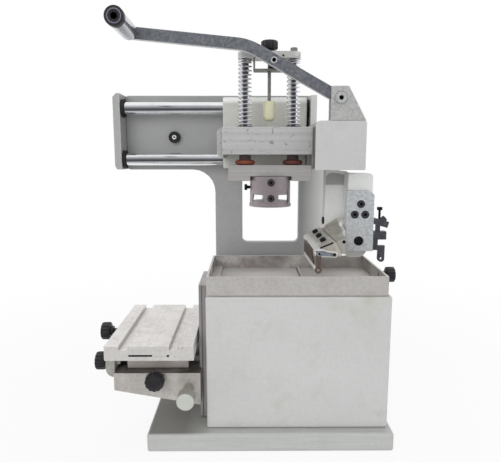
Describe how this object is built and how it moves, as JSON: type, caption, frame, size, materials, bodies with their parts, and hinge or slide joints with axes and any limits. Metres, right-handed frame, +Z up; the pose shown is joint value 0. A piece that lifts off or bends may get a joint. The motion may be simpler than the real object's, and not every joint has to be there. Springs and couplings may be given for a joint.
{
  "type": "pad printing machine",
  "caption": "Bench-top hand lever pad printing machine with sliding carriage, spring-returned pad head, ink tray, swinging scraper and adjustable work table.",
  "frame": {"origin": "centre of the base plate's underside", "axes": "+Z up, +X to the right of someone who stands in front of the machine, -Y towards that person"},
  "size_m": [0.449, 0.2866, 0.6002],
  "materials": {
    "grey_paint": "light grey paint, satin",
    "cast_aluminium": "cast, worn and stained",
    "milled_aluminium": "milled, satin, scratched",
    "zinc_plate": "zinc plated steel, mottled",
    "chrome": "ground and hard chromed",
    "spring_steel": "bright drawn wire",
    "dark_steel": "blackened steel",
    "black_plastic": "moulded black plastic",
    "black_rubber": "black rubber",
    "red_rubber": "red brown rubber",
    "nylon": "cream nylon, slightly see-through",
    "inked_steel": "spring steel with dried ink"
  },
  "bodies": {
    "frame": {"base_plate": "grey_paint", "body_housing": "grey_paint", "ink_tray": "cast_aluminium", "back_plate": "grey_paint", "left_end_bracket": "grey_paint", "right_end_bracket": "grey_paint", "lower_guide_rod": "chrome", "upper_guide_rod": "chrome", "lower_left_bumper": "black_rubber", "lower_right_bumper": "black_rubber", "upper_left_bumper": "black_rubber", "upper_right_bumper": "black_rubber", "beam_stop_bumper": "black_rubber", "height_rail": "milled_aluminium"},
    "tray_clamp": {"tray_clamp_knob": "black_plastic"},
    "knee": {"knee_bracket": "cast_aluminium", "feed_bracket": "cast_aluminium"},
    "height_control": {"height_knob": "grey_paint"},
    "knee_lock": {"knee_lock_knob": "black_plastic"},
    "slide": {"cross_slide": "milled_aluminium"},
    "feed_control": {"feed_knob": "black_plastic"},
    "table": {"work_table": "milled_aluminium"},
    "table_lock": {"table_lock_knob": "black_plastic"},
    "carriage": {"carriage_block": "grey_paint", "lower_bush": "zinc_plate", "upper_bush": "zinc_plate", "head_block": "milled_aluminium", "side_cover": "grey_paint", "lever_bracket": "zinc_plate", "lever_pivot_pin": "zinc_plate", "scraper_arm": "grey_paint", "cam_housing": "grey_paint", "scraper_block": "zinc_plate", "scraper_shaft": "dark_steel", "adjuster_clamp": "dark_steel", "adjuster_bolt": "dark_steel", "hooked_link": "dark_steel"},
    "press_head": {"left_press_rod": "chrome", "right_press_rod": "chrome", "left_spring": "spring_steel", "right_spring": "spring_steel", "left_rubber_buffer": "red_rubber", "right_rubber_buffer": "red_rubber", "crossbar": "milled_aluminium", "bail": "zinc_plate", "pad_plate": "milled_aluminium", "pad_holder": "milled_aluminium"},
    "pad_screw": {"pad_thumb_screw": "black_plastic"},
    "stop_screw": {"stop_tip": "nylon"},
    "stop_control": {"stop_knob": "black_plastic"},
    "lever": {"lever_bar": "zinc_plate", "lever_grip": "zinc_plate", "grip_cap": "black_plastic", "roller_pin": "zinc_plate"},
    "roller": {"bail_roller": "dark_steel"},
    "scraper": {"scraper_carrier": "cast_aluminium", "blade_clamp": "cast_aluminium", "doctor_blade": "inked_steel", "end_strip": "inked_steel"}
  },
  "joints": [
    {"name": "carriage_travel", "type": "slide", "parent": "frame", "child": "carriage", "axis": [1, 0, 0], "range_m": [-0.15, 0]},
    {"name": "lever_press", "type": "hinge", "parent": "carriage", "child": "lever", "pos_m": [0.0961, -0.079, 0.5009], "axis": [0, -1, 0], "range_deg": [0, 25.5]},
    {"name": "head_drop", "type": "slide", "parent": "carriage", "child": "press_head", "axis": [0, 0, -1], "range_m": [0, 0.0448], "stiffness_N_per_m": 3100, "springref_m": -0.02, "deforming": ["left_spring", "right_spring"]},
    {"name": "roller_spin", "type": "hinge", "parent": "lever", "child": "roller", "pos_m": [0.0036, -0.0527, 0.55139], "axis": [0, 1, 0], "continuous": true},
    {"name": "stop_set", "type": "slide", "parent": "press_head", "child": "stop_screw", "axis": [0, 0, 1], "range_m": [0, 0.02]},
    {"name": "stop_knob_turn", "type": "hinge", "parent": "stop_screw", "child": "stop_control", "pos_m": [-0.001, -0.04, 0.5696], "axis": [0, 0, 1], "range_deg": [0, 7201]},
    {"name": "pad_screw_turn", "type": "hinge", "parent": "press_head", "child": "pad_screw", "pos_m": [-0.029, -0.04, 0.3754], "axis": [1, 0, 0], "range_deg": [0, 720]},
    {"name": "scraper_tilt", "type": "hinge", "parent": "carriage", "child": "scraper", "pos_m": [0.1317, -0.045, 0.2972], "axis": [0, -1, 0], "range_deg": [0, 16]},
    {"name": "knee_height", "type": "slide", "parent": "frame", "child": "knee", "axis": [0, 0, 1], "range_m": [-0.025, 0.06]},
    {"name": "height_knob_turn", "type": "hinge", "parent": "knee", "child": "height_control", "pos_m": [-0.119, -0.105, 0.0865], "axis": [0, 1, 0], "range_deg": [-102, 242]},
    {"name": "knee_lock_turn", "type": "hinge", "parent": "knee", "child": "knee_lock", "pos_m": [-0.166, -0.105, 0.1025], "axis": [0, 1, 0], "range_deg": [-360, 0]},
    {"name": "cross_feed", "type": "slide", "parent": "knee", "child": "slide", "axis": [1, 0, 0], "range_m": [-0.01, 0.002]},
    {"name": "feed_knob_turn", "type": "hinge", "parent": "knee", "child": "feed_control", "pos_m": [-0.2413, -0.07, 0.1137], "axis": [1, 0, 0], "range_deg": [-361, 1801]},
    {"name": "table_shift", "type": "slide", "parent": "slide", "child": "table", "axis": [0, 1, 0], "range_m": [-0.02, 0.02]},
    {"name": "table_lock_turn", "type": "hinge", "parent": "table", "child": "table_lock", "pos_m": [-0.2317, -0.041, 0.1503], "axis": [1, 0, 0], "range_deg": [-360, 0]},
    {"name": "tray_clamp_turn", "type": "hinge", "parent": "frame", "child": "tray_clamp", "pos_m": [0.1652, -0.068, 0.247], "axis": [1, 0, 0], "range_deg": [0, 720]}
  ],
  "couplings": [
    {"joint": "head_drop", "follows": "lever_press", "m_per_rad": 0.10053},
    {"joint": "stop_knob_turn", "follows": "stop_set", "rad_per_m": 6283.2},
    {"joint": "height_knob_turn", "follows": "knee_height", "rad_per_m": 69.93},
    {"joint": "feed_knob_turn", "follows": "cross_feed", "rad_per_m": -3141.6}
  ]
}
